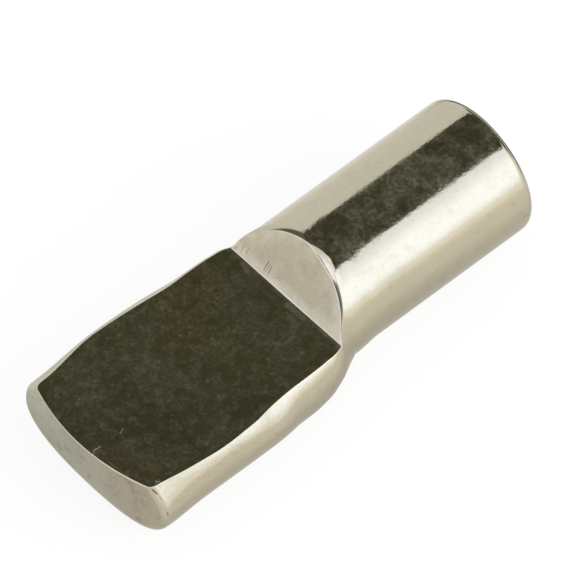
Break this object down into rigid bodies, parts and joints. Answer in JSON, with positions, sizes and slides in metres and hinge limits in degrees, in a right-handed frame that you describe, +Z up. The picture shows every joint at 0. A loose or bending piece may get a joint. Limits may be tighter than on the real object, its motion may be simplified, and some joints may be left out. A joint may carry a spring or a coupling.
{
  "type": "shelf support pin",
  "caption": "Spoon-pattern shelf support pin: a round shank that plugs into a drilled hole, and a pressed paddle with a flat top that carries the shelf.",
  "frame": {"origin": "on the shank's axis, in the plane of the cabinet side's face, where the full round of the shank begins", "axes": "+X along the shank into the hole, +Z up out of the flat that carries the shelf"},
  "size_m": [0.0171, 0.0068, 0.0051],
  "materials": {
    "nickel_plate": "nickel-plated steel, bright with a fine orange-peel and light scuffs"
  },
  "bodies": {
    "root": {"shelf_pin": "nickel_plate"}
  },
  "joints": []
}
